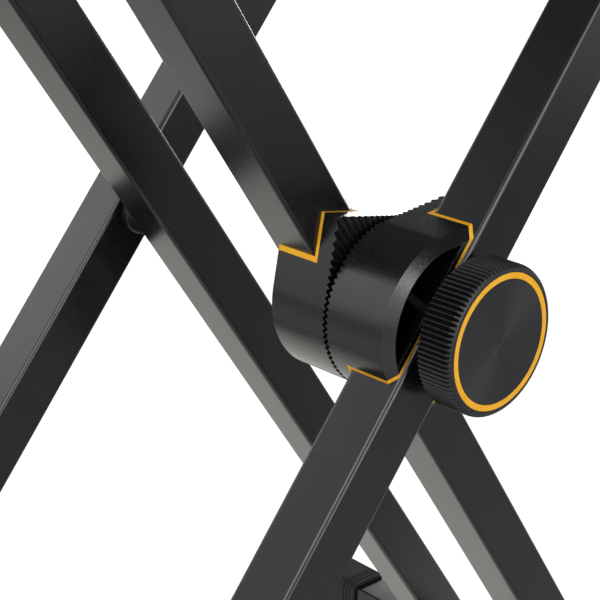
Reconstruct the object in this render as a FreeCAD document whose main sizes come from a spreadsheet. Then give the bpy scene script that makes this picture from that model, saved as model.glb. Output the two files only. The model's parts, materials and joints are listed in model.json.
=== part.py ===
import FreeCAD, Part
import math
import os

import Sketcher
from FreeCAD import Placement, Rotation, Vector

# Folding double-X keyboard stand, millimetres.
# X runs across the spread of the legs, Y along the pivot axis from the hand knob to the back, Z up.
# The origin is on the floor, under the middle of the four feet.

doc = FreeCAD.newDocument("keyboard_stand")
sheet = doc.addObject("Spreadsheet::Sheet", "sizes")

DIMENSIONS = [
    ("tube_side", 30, "outer side of every square tube"),
    ("tube_wall", 1.5, "tube wall"),
    ("tube_corner", 2.5, "outer corner radius of the tube"),
    ("leg_gap", 24, "gap between an outer leg and the inner leg beside it"),
    ("frame_gap", 98, "gap between the two inner legs"),
    ("half_angle", 37, "lean of each leg from the vertical, degrees"),
    ("pivot_height", 400, "height of the pivot axis above the floor"),
    ("arm_length", 360, "length of a support arm"),
    ("foot_length", 400, "length of a floor bar"),
    ("cap_wall", 3, "rubber thickness of end caps and arm pads"),
    ("cap_grip", 36, "length of tube inside an end cap"),
    ("cap_round", 2, "rounding of an end cap's closed end"),
    ("pad_skirt", 9, "how far an arm pad reaches down the sides of its arm"),
    ("hub_radius", 42.4, "radius of the clutch castings"),
    ("hub_recess", 1.6, "how far a casting's rim lies behind the face of its tube"),
    ("hub_chamfer", 4.5, "chamfer round the open rim of a clutch casting"),
    ("hub_wall", 5, "outer wall of a cored clutch casting"),
    ("hub_floor", 5, "casting left between the cores and the tooth plane"),
    ("rib_width", 4, "rib across each core"),
    ("rib_setback", 9, "distance of the ribs below the rim"),
    ("channel_wall", 3, "casting wall beside the tube channel"),
    ("liner_wall", 2, "thickness of the coloured channel liner"),
    ("tooth_count", 84, "radial teeth on each clutch face"),
    ("tooth_height", 1.9, "tooth height at the hub radius"),
    ("tooth_flat", 0.08, "how far the tooth crests are cut back at the hub radius"),
    ("clutch_slack", 2.1, "distance between the tooth planes with the knob slackened"),
    ("spring_seat_radius", 14, "spring pocket in each clutch face"),
    ("spring_seat_depth", 5, "depth of the spring pocket below the tooth plane"),
    ("spring_radius", 10.5, "mean coil radius of the release spring"),
    ("spring_wire", 1.8, "wire diameter of the release spring"),
    ("spring_turns", 4, "turns of the release spring"),
    ("bolt_radius", 5, "shank radius of both pivot bolts"),
    ("bolt_clearance", 0.3, "radial clearance of a plain bolt hole"),
    ("running_gap", 0.05, "radial clearance of a running fit"),
    ("seat_gap", 0.1, "axial clearance between pieces that turn on each other"),
    ("clutch_head_radius", 11, "domed head of the clutch bolt"),
    ("clutch_head_height", 5.5, "height of the domed head"),
    ("clutch_head_round", 4.5, "rounding of the domed head"),
    ("clutch_neck", 10, "square neck of the clutch bolt"),
    ("neck_gap", 0.1, "clearance of the square neck in its hole, each side"),
    ("sleeve_wall", 2, "wall of the clutch sleeve and of the pivot bush"),
    ("flange_radius", 14, "flange of the clutch sleeve and its washer"),
    ("flange_thick", 2, "thickness of sleeve and bush flanges"),
    ("washer_thick", 1.5, "thickness of the thrust washer and of the pivot washer"),
    ("knob_radius", 36.4, "outer radius of the hand knob"),
    ("knob_depth", 18.6, "depth of the knob from its face to its back rim"),
    ("knob_standoff", 9.8, "gap from the tube to the knob's back rim"),
    ("knob_round", 3.4, "rounding of the knob's front edge"),
    ("knob_face", 5, "thickness of the knob's face"),
    ("knob_wall", 2.8, "knob wall inside the flutes"),
    ("boss_radius", 14, "threaded boss of the knob"),
    ("knob_ribs", 6, "ribs between the boss and the wall"),
    ("knob_rib_width", 2.4, "width of a knob rib"),
    ("knob_rib_setback", 4, "distance of the knob ribs below the back rim"),
    ("ring_radius", 32.7, "outer radius of the coloured face ring"),
    ("ring_width", 3, "width of the face ring"),
    ("inlay_depth", 1.5, "depth of the ring and of the face disc"),
    ("inlay_gap", 0.05, "clearance round the ring and the disc"),
    ("flute_count", 90, "grip flutes round the knob"),
    ("flute_depth", 1.2, "depth of a flute"),
    ("flute_width", 1.7, "width of a flute at the rim"),
    ("flute_floor", 0.7, "width of a flute at its floor"),
    ("insert_radius", 8, "threaded insert in the boss"),
    ("insert_length", 14, "length of the threaded insert"),
    ("bolt_end_room", 3, "free room in front of the clutch bolt's end"),
    ("spacer_radius", 11.5, "spacer between the rear legs"),
    ("spacer_round", 1.5, "rounding of the spacer's edges"),
    ("bush_length", 12, "length of the pivot bush inside the leg"),
    ("bush_flange_radius", 11, "flange of the pivot bush"),
    ("pivot_washer_radius", 9.8, "washer under the head of the rear pivot bolt"),
    ("pivot_head_radius", 9, "head of the rear pivot bolt"),
    ("pivot_head_height", 5, "height of that head"),
    ("pivot_head_round", 1.2, "rounding of that head"),
    ("socket_corner", 3.5, "corner radius of the hexagon socket in that head"),
    ("socket_depth", 3, "depth of that socket"),
    ("nut_corner", 9.2, "corner radius of the hexagon nut inside the inner rear leg"),
    ("nut_height", 8, "height of that nut"),
    ("bolt_tail", 2, "bolt standing out of that nut"),
    ("access_radius", 10.5, "hole in the back of the outer rear leg for the pivot bolt"),
    ("plug_radius", 13, "flange of the plug in that hole"),
    ("plug_flange", 1.8, "thickness of that flange"),
    ("plug_round", 1.2, "rounding of that flange"),
    ("plug_spigot", 5, "length of the plug inside the leg"),
    ("plug_wall", 1.6, "wall of the plug inside the leg"),
    ("overrun", 1, "how far a cutting tool passes the face that it cuts"),
]

for row, (alias, amount, meaning) in enumerate(DIMENSIONS, start=1):
    sheet.set(f"A{row}", meaning)
    sheet.set(f"B{row}", str(amount))
    sheet.setAlias(f"B{row}", alias)
doc.recompute()


class Size:
    """A number together with the sheet expression that gives it."""

    def __init__(self, text, value):
        self.text = text
        self.value = value

    def joined(self, sign, other, value):
        return Size(f"({self.text} {sign} {text_of(other)})", value)

    def __add__(self, other):
        return self.joined("+", other, self.value + number(other))

    def __sub__(self, other):
        return self.joined("-", other, self.value - number(other))

    def __rsub__(self, other):
        return Size(f"({text_of(other)} - {self.text})", number(other) - self.value)

    def __mul__(self, other):
        return self.joined("*", other, self.value * number(other))

    def __truediv__(self, other):
        return self.joined("/", other, self.value / number(other))

    def __neg__(self):
        return Size(f"(-{self.text})", -self.value)


def number(amount):
    return amount.value if isinstance(amount, Size) else amount


def text_of(amount):
    return amount.text if isinstance(amount, Size) else repr(amount)


def cosine(angle):
    return Size(f"cos({angle.text} * 1 deg)", math.cos(math.radians(angle.value)))


def tangent(angle):
    return Size(f"tan({angle.text} * 1 deg)", math.tan(math.radians(angle.value)))


class Named:
    """The sheet's sizes, by name."""

    def __getattr__(self, alias):
        return Size(f"sizes.{alias}", float(sheet.get(alias)))


size = Named()

# Places that several pieces share, along Y from the middle and along Z from the floor.
outer_face = size.frame_gap / 2 + size.tube_side * 2 + size.leg_gap
outer_back = outer_face - size.tube_side
inner_face = outer_back - size.leg_gap
inner_back = inner_face - size.tube_side
tooth_plane = inner_face + size.leg_gap / 2
foot_axis = size.cap_wall + size.tube_side / 2
foot_top = size.cap_wall + size.tube_side
arm_axis = size.pivot_height * 2 - foot_axis
reach = (size.pivot_height - foot_axis) * tangent(size.half_angle)
rubber_side = size.tube_side + size.cap_wall * 2
rubber_corner = size.tube_corner + size.cap_wall
hub_depth = size.leg_gap / 2 + size.tube_side - size.clutch_slack / 2 - size.hub_recess
channel_half = size.tube_side / 2 + size.liner_wall
diagonal_share = math.sqrt(0.5)
hole_radius = size.bolt_radius + size.bolt_clearance
bolt_bore = size.bolt_radius + size.running_gap
sleeve_radius = bolt_bore + size.sleeve_wall
sleeve_bore = sleeve_radius + size.running_gap

subparts = []


def bind(thing, prop, amount):
    if isinstance(amount, Size):
        thing.setExpression(prop, amount.text)
    else:
        setattr(thing, prop, amount)


def move(thing, x=0, y=0, z=0):
    for axis, amount in (("x", x), ("y", y), ("z", z)):
        if isinstance(amount, Size):
            thing.setExpression(f"Placement.Base.{axis}", amount.text)


def lean(thing, angle):
    thing.Placement = Placement(Vector(), Rotation(Vector(0, 1, 0), angle.value))
    thing.setExpression("Placement.Rotation.Angle", angle.text)


def turn_round(thing):
    thing.Placement = Placement(Vector(), Rotation(Vector(0, 0, 1), 180))


def keep(thing, label):
    thing.Label = label
    subparts.append(thing)


def boolean(kind, name, base, tool):
    result = doc.addObject(f"Part::{kind}", name)
    result.Base = base
    result.Tool = tool
    return result


def new_body(name):
    return doc.addObject("PartDesign::Body", name)


def sketch_on(body, plane, offset=None):
    sketch = body.newObject("Sketcher::SketchObject", body.Name + "_sketch")
    support = next(f for f in body.Origin.OriginFeatures if f.Role == plane)
    sketch.AttachmentSupport = [(support, "")]
    sketch.MapMode = "FlatFace"
    if offset is not None:
        sketch.setExpression("AttachmentOffset.Base.z", offset.text)
    return sketch


def constrain(sketch, kind, *where):
    return sketch.addConstraint(Sketcher.Constraint(kind, *where))


def dimension(sketch, kind, where, amount):
    index = sketch.addConstraint(Sketcher.Constraint(kind, *where, amount.value))
    sketch.setExpression(f"Constraints[{index}]", amount.text)


def polygon(sketch, points):
    """Closed outline whose corners are each placed from the sketch origin."""
    spots = [Vector(number(u), number(v), 0) for u, v in points]
    first = sketch.GeometryCount
    count = len(points)
    for i in range(count):
        sketch.addGeometry(Part.LineSegment(spots[i], spots[(i + 1) % count]))
    for i in range(count):
        constrain(sketch, "Coincident", first + i, 2, first + (i + 1) % count, 1)
    for i, (u, v) in enumerate(points):
        for kind, axis, amount in (("DistanceX", -2, u), ("DistanceY", -1, v)):
            if isinstance(amount, Size):
                dimension(sketch, kind, (-1, 1, first + i, 1), amount)
            else:
                constrain(sketch, "PointOnObject", first + i, 1, axis)


def circle(sketch, radius):
    index = sketch.addGeometry(Part.Circle(Vector(), Vector(0, 0, 1), radius.value))
    constrain(sketch, "Coincident", index, 3, -1, 1)
    dimension(sketch, "Radius", (index,), radius)


def add_arc(sketch, radius, start, end, centre=Vector()):
    ring = Part.Circle(centre, Vector(0, 0, 1), radius)
    return sketch.addGeometry(Part.ArcOfCircle(ring, math.radians(start), math.radians(end)))


def add_line(sketch, start, end):
    return sketch.addGeometry(Part.LineSegment(Vector(*start, 0), Vector(*end, 0)))


def rounded_square(sketch, side, corner):
    """Square with round corners, centred on the sketch origin."""
    half = side.value / 2
    radius = corner.value
    inner = half - radius
    corners = [(1, -1), (1, 1), (-1, 1), (-1, -1)]
    lines = []
    arcs = []
    for i, (right, up) in enumerate(corners):
        before = corners[i - 1]
        start = [inner * before[0], inner * before[1]]
        end = [inner * right, inner * up]
        outward = 0 if right == before[0] else 1
        for spot in (start, end):
            spot[outward] = half * corners[i][outward]
        lines.append(add_line(sketch, start, end))
        centre = Vector(inner * right, inner * up, 0)
        arcs.append(add_arc(sketch, radius, 90 * i - 90, 90 * i, centre))
    for i in range(4):
        constrain(sketch, "Tangent", lines[i], 2, arcs[i], 1)
        constrain(sketch, "Tangent", arcs[i], 2, lines[(i + 1) % 4], 1)
        constrain(sketch, "Horizontal" if i % 2 == 0 else "Vertical", lines[i])
    for i in range(1, 4):
        constrain(sketch, "Equal", arcs[0], arcs[i])
    constrain(sketch, "Symmetric", arcs[0], 3, arcs[2], 3, -1, 1)
    dimension(sketch, "Radius", (arcs[0],), corner)
    dimension(sketch, "DistanceY", (lines[0], 1, lines[2], 1), side)
    dimension(sketch, "DistanceX", (lines[3], 1, lines[1], 1), side)


def drop(sketch, radius):
    """Circle drawn out to a right-angled point at the top."""
    r = radius.value
    side = r * diagonal_share
    tip = r / diagonal_share
    round_end = add_arc(sketch, r, 135, 405)
    right = add_line(sketch, (0, tip), (side, side))
    left = add_line(sketch, (-side, side), (0, tip))
    constrain(sketch, "Coincident", left, 2, right, 1)
    constrain(sketch, "Tangent", right, 2, round_end, 2)
    constrain(sketch, "Tangent", left, 1, round_end, 1)
    constrain(sketch, "Coincident", round_end, 3, -1, 1)
    constrain(sketch, "PointOnObject", right, 1, -2)
    constrain(sketch, "Perpendicular", right, left)
    dimension(sketch, "Radius", (round_end,), radius)


def half_drop(sketch, radius, cut, sign):
    """The side of a drop that lies beyond a straight cut, on the given side of the middle."""
    r = radius.value
    x = cut.value * sign
    side = r * diagonal_share * sign
    tip = r / diagonal_share - cut.value
    foot = -math.sqrt(r * r - x * x)
    low_angle = math.degrees(math.acos(cut.value / r))
    arc = add_arc(sketch, r, -low_angle, 45) if sign > 0 else add_arc(sketch, r, 135, 180 + low_angle)
    top_end, low_end = (2, 1) if sign > 0 else (1, 2)
    chord = add_line(sketch, (x, foot), (x, tip))
    top = add_line(sketch, (x, tip), (side, abs(side)))
    constrain(sketch, "Coincident", chord, 2, top, 1)
    constrain(sketch, "Coincident", chord, 1, arc, low_end)
    constrain(sketch, "Tangent", top, 2, arc, top_end)
    constrain(sketch, "Coincident", arc, 3, -1, 1)
    constrain(sketch, "Vertical", chord)
    dimension(sketch, "Radius", (arc,), radius)
    dimension(sketch, "DistanceX", (-1, 1, chord, 1), cut if sign > 0 else -cut)
    dimension(sketch, "DistanceX", (-1, 1, arc, top_end), radius * (diagonal_share * sign))


def pad(body, sketch, length, back=False, both=False):
    feature = body.newObject("PartDesign::Pad", body.Name + "_pad")
    feature.Profile = sketch
    feature.Reversed = back
    if both:
        feature.SideType = "Symmetric"
    bind(feature, "Length", length)
    return feature


def pocket(body, sketch, depth, back=False):
    feature = body.newObject("PartDesign::Pocket", body.Name + "_pocket")
    feature.Profile = sketch
    feature.Reversed = back
    bind(feature, "Length", depth)
    return feature


def edges_on_plane(feature, y):
    """Names of the edges that lie in the plane at y."""
    doc.recompute()
    names = []
    for i, edge in enumerate(feature.Shape.Edges, start=1):
        box = edge.BoundBox
        if max(abs(box.YMin - y), abs(box.YMax - y)) < size.seat_gap.value:
            names.append(f"Edge{i}")
    return names


def dress(body, kind, feature, y, amount, widest=False):
    """Fillet or chamfer on the edges at y, or only on the widest of them."""
    names = edges_on_plane(feature, y)
    if widest:
        names = [max(names, key=lambda name: feature.Shape.getElement(name).Length)]
    result = body.newObject(f"PartDesign::{kind}", body.Name + "_edge")
    result.Base = (feature, names)
    bind(result, "Radius" if kind == "Fillet" else "Size", amount)
    return result


def turned(name, profile):
    """Solid of revolution about Y, from corners given as radius and distance along Y."""
    body = new_body(name)
    sketch = sketch_on(body, "XY_Plane")
    polygon(sketch, profile)
    feature = body.newObject("PartDesign::Revolution", name + "_turn")
    feature.Profile = sketch
    feature.ReferenceAxis = (sketch, ["V_Axis"])
    feature.Angle = 360.0
    return body


def ring_profile(inner, outer, length):
    return [(inner, 0), (outer, 0), (outer, length), (inner, length)]


def cylinder_along_y(name, radius, start, length):
    tool = doc.addObject("Part::Cylinder", name)
    tool.Placement = Placement(Vector(), Rotation(Vector(1, 0, 0), -90))
    bind(tool, "Radius", radius)
    bind(tool, "Height", length)
    move(tool, 0, start, size.pivot_height)
    return tool


def block(name, width, depth, height, start_y, start_z, centre_x=0):
    tool = doc.addObject("Part::Box", name)
    bind(tool, "Length", width)
    bind(tool, "Width", depth)
    bind(tool, "Height", height)
    move(tool, centre_x - width / 2, start_y, start_z)
    return tool


def tube(name, plane, length, side=size.tube_side, corner=size.tube_corner, wall=size.tube_wall):
    """Square tube centred on its own origin, drawn along Z or along Y."""
    body = new_body(name)
    sketch = sketch_on(body, plane)
    rounded_square(sketch, side, corner)
    rounded_square(sketch, side - wall * 2, corner - wall)
    pad(body, sketch, length, both=True)
    return body


# Legs: leaning tubes notched to lie on and against the floor bars and the arms that they are welded to.
leg_stock = size.pivot_height * 2 / cosine(size.half_angle)
trim_depth = outer_face * 2 + size.overrun * 2
trim_start = -(outer_face + size.overrun)
between_bars = block("trim_between_bars", reach * 2 + size.tube_side * 4, trim_depth,
                     (size.pivot_height - foot_top) * 2, trim_start, foot_top)
beside_bars = block("trim_beside_bars", reach * 2 - size.tube_side, trim_depth,
                    (size.pivot_height - size.cap_wall) * 2, trim_start, size.cap_wall)
trim = boolean("Fuse", "leg_trim", between_bars, beside_bars)


def leg(label, angle, start, front_hole=None, back_hole=None):
    """Leaning tube from the given place along Y, with a hole in its front wall, its back wall or both."""
    stock = tube(label + "_stock", "XY_Plane", leg_stock)
    lean(stock, angle)
    middle = start + size.tube_side / 2
    move(stock, 0, middle, size.pivot_height)
    result = boolean("Common", label + "_trimmed", stock, trim)
    drill_length = size.tube_side / 2 + size.overrun
    for wall, radius, drill_start in (("front", front_hole, start - size.overrun),
                                      ("back", back_hole, middle)):
        if radius is not None:
            drill = cylinder_along_y(f"{label}_{wall}_drill", radius, drill_start, drill_length)
            result = boolean("Cut", f"{label}_{wall}_hole", result, drill)
    return result


outer_lean = size.half_angle
inner_lean = -size.half_angle
keep(leg("outer_leg_front", outer_lean, -outer_face, sleeve_bore, sleeve_bore), "outer_leg_front")
keep(leg("outer_leg_rear", outer_lean, outer_back, sleeve_radius, size.access_radius), "outer_leg_rear")
keep(leg("inner_leg_rear", inner_lean, inner_back, back_hole=hole_radius), "inner_leg_rear")

# The front inner leg has a square hole in its back wall for the neck of the clutch bolt.
neck_hole = size.clutch_neck + size.neck_gap * 2
neck_tool = block("neck_tool", neck_hole, size.tube_wall + size.overrun, neck_hole,
                  -(inner_back + size.tube_wall), size.pivot_height - neck_hole / 2)
drilled_leg = leg("inner_leg_front_drilled", inner_lean, -inner_face, front_hole=hole_radius)
keep(boolean("Cut", "inner_leg_front", drilled_leg, neck_tool), "inner_leg_front")

# Support arms and floor bars, their rubber end caps and the pads on the arms.
cap_length = size.cap_grip + size.cap_wall


def end_cap(label, x, bar_end, z, at_back):
    body = new_body(label)
    sketch = sketch_on(body, "XZ_Plane")
    rounded_square(sketch, rubber_side, rubber_corner)
    base = pad(body, sketch, cap_length)
    dress(body, "Fillet", base, -cap_length.value, size.cap_round)
    mouth = sketch_on(body, "XZ_Plane")
    rounded_square(mouth, size.tube_side, size.tube_corner)
    pocket(body, mouth, size.cap_grip, back=True)
    if at_back:
        turn_round(body)
    grip_end = bar_end - size.cap_grip
    move(body, x, grip_end if at_back else -grip_end, z)
    keep(body, label)


def arm_pad(label, x):
    sleeve = tube(label + "_sleeve", "XZ_Plane", size.arm_length - size.cap_grip * 2,
                  rubber_side, rubber_corner, size.cap_wall)
    move(sleeve, x, 0, arm_axis)
    below = block(label + "_below", rubber_side + size.overrun * 2, size.arm_length, rubber_side,
                  -size.arm_length / 2, arm_axis + size.tube_side / 2 - size.pad_skirt - rubber_side, x)
    keep(boolean("Cut", label, sleeve, below), label)


for frame, side in (("inner", -1), ("outer", 1)):
    for piece, length, x, z in (("arm", size.arm_length, reach * side, arm_axis),
                                ("foot", size.foot_length, reach * -side, foot_axis)):
        bar = tube(f"{frame}_{piece}_bar", "XZ_Plane", length)
        move(bar, x, 0, z)
        keep(bar, f"{frame}_{piece}_bar")
        end_cap(f"{frame}_{piece}_cap_front", x, length / 2, z, at_back=False)
        end_cap(f"{frame}_{piece}_cap_rear", x, length / 2, z, at_back=True)
    arm_pad(f"{frame}_arm_pad", reach * side)

# Clutch castings: drop-shaped halves, pointed upwards, that grip the front legs and mesh face to face.
crest = size.tooth_height / 2 - size.tooth_flat
bed_depth = size.tube_side - size.hub_recess
channel_depth = bed_depth + size.liner_wall
core_radius = size.hub_radius - size.hub_wall
core_depth = hub_depth - size.hub_floor
long_side = size.hub_radius * 4


def drop_block(name, back, top):
    """Drop-shaped block from the given height over the tooth plane out to its chamfered rim."""
    body = new_body(name)
    sketch = sketch_on(body, "XZ_Plane", top if back else -top)
    drop(sketch, size.hub_radius)
    base = pad(body, sketch, hub_depth + top, back=back)
    rim = hub_depth.value if back else -hub_depth.value
    dress(body, "Chamfer", base, rim, size.hub_chamfer)
    return body


def at_rim(body, back):
    return sketch_on(body, "XZ_Plane", -hub_depth if back else hub_depth)


def tooth_wedge(name, back, crest_first):
    """Solid under a face of radial teeth whose flanks all run to the centre of the tooth plane."""
    count = int(size.tooth_count.value)
    radius = size.hub_radius.value * 2
    height = size.tooth_height.value
    away = 1 if back else -1
    depth = hub_depth.value * 2 * away
    outer = []
    for i in range(count * 2):
        angle = math.pi * i / count
        raised = (i % 2 == 0) == crest_first
        y = -away * height if raised else away * height
        outer.append(Vector(radius * math.sin(angle), y, radius * math.cos(angle)))
    lower = [Vector(p.x, depth, p.z) for p in outer]
    faces = [Part.Face(Part.makePolygon(lower + lower[:1]))]
    for i in range(count * 2):
        j = (i + 1) % (count * 2)
        faces.append(Part.Face(Part.makePolygon([Vector(), outer[i], outer[j], Vector()])))
        faces.append(Part.Face(Part.makePolygon([outer[i], lower[i], lower[j], outer[j], outer[i]])))
    wedge = doc.addObject("Part::Feature", name)
    wedge.Shape = Part.makeSolid(Part.makeShell(faces))
    return wedge


def clutch_half(label, back, angle, bore, plane):
    body = drop_block(label + "_blank", back, crest)
    cores = at_rim(body, back)
    for sign in (1, -1):
        half_drop(cores, core_radius, channel_half + size.channel_wall, sign)
    pocket(body, cores, core_depth, back=back)
    ribs = sketch_on(body, "XZ_Plane", size.hub_floor * (-1 if back else 1))
    rib_end = core_radius + size.hub_wall / 2
    for sign in (1, -1):
        start = (channel_half + size.channel_wall / 2) * sign
        polygon(ribs, [(start, -size.rib_width / 2), (rib_end * sign, -size.rib_width / 2),
                       (rib_end * sign, size.rib_width / 2), (start, size.rib_width / 2)])
    pad(body, ribs, core_depth - size.rib_setback, back=back)
    channel = at_rim(body, back)
    polygon(channel, [(-channel_half, -long_side), (channel_half, -long_side),
                      (channel_half, long_side), (-channel_half, long_side)])
    pocket(body, channel, channel_depth, back=back)
    seat = sketch_on(body, "XZ_Plane", crest if back else -crest)
    circle(seat, size.spring_seat_radius)
    pocket(body, seat, crest + size.spring_seat_depth, back=not back)
    hole = at_rim(body, back)
    circle(hole, bore)
    pocket(body, hole, hub_depth + crest * 2, back=back)
    lean(body, angle)
    move(body, 0, plane, size.pivot_height)
    wedge = tooth_wedge(label + "_teeth", back, crest_first=not back)
    move(wedge, 0, plane, size.pivot_height)
    keep(boolean("Common", label, body, wedge), label)


def clutch_liner(label, back, angle, bore, plane):
    body = drop_block(label, back, -(hub_depth - channel_depth))
    outside = at_rim(body, back)
    for sign in (1, -1):
        polygon(outside, [(channel_half * sign, -long_side), (long_side * sign, -long_side),
                          (long_side * sign, long_side), (channel_half * sign, long_side)])
    pocket(body, outside, channel_depth, back=back)
    bed = at_rim(body, back)
    polygon(bed, [(-size.tube_side / 2, -long_side), (size.tube_side / 2, -long_side),
                  (size.tube_side / 2, long_side), (-size.tube_side / 2, long_side)])
    pocket(body, bed, bed_depth, back=back)
    hole = at_rim(body, back)
    circle(hole, bore)
    pocket(body, hole, hub_depth, back=back)
    lean(body, angle)
    move(body, 0, plane, size.pivot_height)
    keep(body, label)


front_plane = -(tooth_plane + size.clutch_slack / 2)
rear_plane = -(tooth_plane - size.clutch_slack / 2)
clutch_half("clutch_half_front", False, size.half_angle, sleeve_bore, front_plane)
clutch_half("clutch_half_rear", True, -size.half_angle, hole_radius, rear_plane)
clutch_liner("clutch_liner_front", False, size.half_angle, sleeve_bore, front_plane)
clutch_liner("clutch_liner_rear", True, -size.half_angle, hole_radius, rear_plane)

# Clutch bolt: square-necked, headed behind the inner leg, its end inside the knob.
knob_front = outer_face + size.knob_standoff + size.knob_depth
bolt_front = knob_front - size.knob_face - size.bolt_end_room
shank_length = bolt_front - inner_back
head_top = shank_length + size.clutch_head_height
bolt_shaft = turned("clutch_bolt_shaft", [
    (0, 0), (size.bolt_radius, 0), (size.bolt_radius, shank_length), (size.clutch_head_radius, shank_length),
    (size.clutch_head_radius, head_top), (0, head_top)])
dress(bolt_shaft, "Fillet", bolt_shaft.Tip, head_top.value, size.clutch_head_round)
move(bolt_shaft, 0, -bolt_front, size.pivot_height)
bolt_neck = block("clutch_bolt_neck", size.clutch_neck, size.tube_wall, size.clutch_neck,
                  -(inner_back + size.tube_wall), size.pivot_height - size.clutch_neck / 2)
keep(boolean("Fuse", "clutch_bolt", bolt_shaft, bolt_neck), "clutch_bolt")

# Flanged sleeve that the outer leg turns on, thrust washer and release spring.
sleeve_end = outer_face - tooth_plane - size.clutch_slack / 2 - size.spring_seat_depth - size.overrun
flange_front = outer_face + size.seat_gap + size.flange_thick
sleeve_length = size.flange_thick + size.seat_gap + sleeve_end
sleeve = turned("clutch_sleeve", [
    (bolt_bore, 0), (size.flange_radius, 0), (size.flange_radius, size.flange_thick),
    (sleeve_radius, size.flange_thick), (sleeve_radius, sleeve_length), (bolt_bore, sleeve_length)])
move(sleeve, 0, -flange_front, size.pivot_height)
keep(sleeve, "clutch_sleeve")

washer_front = flange_front + size.seat_gap + size.washer_thick
washer = turned("thrust_washer", ring_profile(hole_radius, size.flange_radius, size.washer_thick))
move(washer, 0, -washer_front, size.pivot_height)
keep(washer, "thrust_washer")

spring_length = size.clutch_slack + size.spring_seat_depth * 2 - size.seat_gap * 2


def coil(name):
    """Release spring: one round wire wound about Y on quarter-turn arcs."""
    quarters = int(size.spring_turns.value * 4)
    radius = size.spring_radius.value
    wire = size.spring_wire.value
    climb = (spring_length.value - wire) / quarters
    gap = climb * 4 - wire
    print(f"release spring: gap between turns {gap:.2f} mm")

    def spot(quarter):
        angle = math.pi / 2 * quarter
        return Vector(radius * math.cos(angle), climb * quarter + wire / 2, radius * math.sin(angle))

    arcs = [Part.Arc(spot(i), spot(i + 0.5), spot(i + 1)).toShape() for i in range(quarters)]
    path = Part.Wire(arcs)
    start = arcs[0].tangentAt(arcs[0].FirstParameter)
    section = Part.Wire([Part.makeCircle(wire / 2, spot(0), start)])
    shell = Part.BRepOffsetAPI.MakePipeShell(path)
    shell.add(section)
    shell.build()
    shell.makeSolid()
    spring = doc.addObject("Part::Feature", name)
    spring.Shape = shell.shape()
    return spring


spring = coil("clutch_spring")
move(spring, 0, front_plane - size.spring_seat_depth + size.seat_gap, size.pivot_height)
keep(spring, "clutch_spring")

# Hand knob: hollow fluted cap with a ribbed boss, a threaded insert and an inlaid face.
boss_end = size.knob_depth + size.knob_standoff - (washer_front + size.seat_gap - outer_face)
insert_front = boss_end - size.insert_length
cavity = size.knob_radius - size.flute_depth - size.knob_wall
knob_blank = turned("knob_body_blank", [
    (0, size.inlay_depth), (size.ring_radius + size.inlay_gap, size.inlay_depth),
    (size.ring_radius + size.inlay_gap, 0), (size.knob_radius, 0), (size.knob_radius, size.knob_depth),
    (cavity, size.knob_depth), (cavity, size.knob_face), (size.boss_radius, size.knob_face),
    (size.boss_radius, boss_end), (size.insert_radius + size.inlay_gap, boss_end),
    (size.insert_radius + size.inlay_gap, insert_front), (hole_radius, insert_front),
    (hole_radius, size.knob_face), (0, size.knob_face)])
dress(knob_blank, "Fillet", knob_blank.Tip, 0, size.knob_round, widest=True)
rib_sketch = sketch_on(knob_blank, "XZ_Plane", -(size.knob_depth - size.knob_rib_setback))
rib_from = (size.boss_radius + size.insert_radius) / 2
rib_to = cavity + size.knob_wall / 2
polygon(rib_sketch, [(rib_from, -size.knob_rib_width / 2), (rib_to, -size.knob_rib_width / 2),
                     (rib_to, size.knob_rib_width / 2), (rib_from, size.knob_rib_width / 2)])
rib = pad(knob_blank, rib_sketch, size.knob_depth - size.knob_rib_setback - size.knob_face / 2)
ribs = knob_blank.newObject("PartDesign::PolarPattern", "knob_ribs")
ribs.Originals = [rib]
ribs.Axis = (rib_sketch, ["N_Axis"])
ribs.Angle = 360
bind(ribs, "Occurrences", size.knob_ribs)
knob_blank.Tip = ribs


def flute_tools(name):
    """One cutter for each grip flute, spaced evenly; it runs out in the rounding of the face."""
    count = int(size.flute_count.value)
    rim = size.knob_radius.value
    floor = rim - size.flute_depth.value
    slope = (size.flute_width.value - size.flute_floor.value) / size.flute_depth.value
    top = rim + size.overrun.value
    top_half = (size.flute_width.value + slope * size.overrun.value) / 2
    floor_half = size.flute_floor.value / 2
    front = -size.overrun.value
    length = size.knob_depth.value + 2 * size.overrun.value
    corners = [Vector(x, front, z) for x, z in ((floor, -floor_half), (floor, floor_half),
                                                (top, top_half), (top, -top_half))]
    cutter = Part.Face(Part.makePolygon(corners + corners[:1])).extrude(Vector(0, length, 0))
    cutters = []
    for i in range(count):
        turned_cutter = cutter.copy()
        turned_cutter.rotate(Vector(), Vector(0, 1, 0), 360 * i / count)
        cutters.append(turned_cutter)
    tools = doc.addObject("Part::Feature", name)
    tools.Shape = Part.makeCompound(cutters)
    return tools


flutes = flute_tools("knob_flutes")
for piece in (knob_blank, flutes):
    move(piece, 0, -knob_front, size.pivot_height)
keep(boolean("Cut", "knob_body", knob_blank, flutes), "knob_body")

ring_inner = size.ring_radius - size.ring_width
face_pieces = {
    "knob_ring": ring_profile(ring_inner, size.ring_radius, size.inlay_depth),
    "knob_disc": [(0, 0), (ring_inner - size.inlay_gap, 0), (ring_inner - size.inlay_gap, size.inlay_depth),
                  (0, size.inlay_depth)],
}
for label, profile in face_pieces.items():
    inlay = turned(label, profile)
    move(inlay, 0, -knob_front, size.pivot_height)
    keep(inlay, label)

insert = turned("knob_insert", ring_profile(bolt_bore, size.insert_radius, size.insert_length))
move(insert, 0, -(knob_front - insert_front), size.pivot_height)
keep(insert, "knob_insert")

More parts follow.
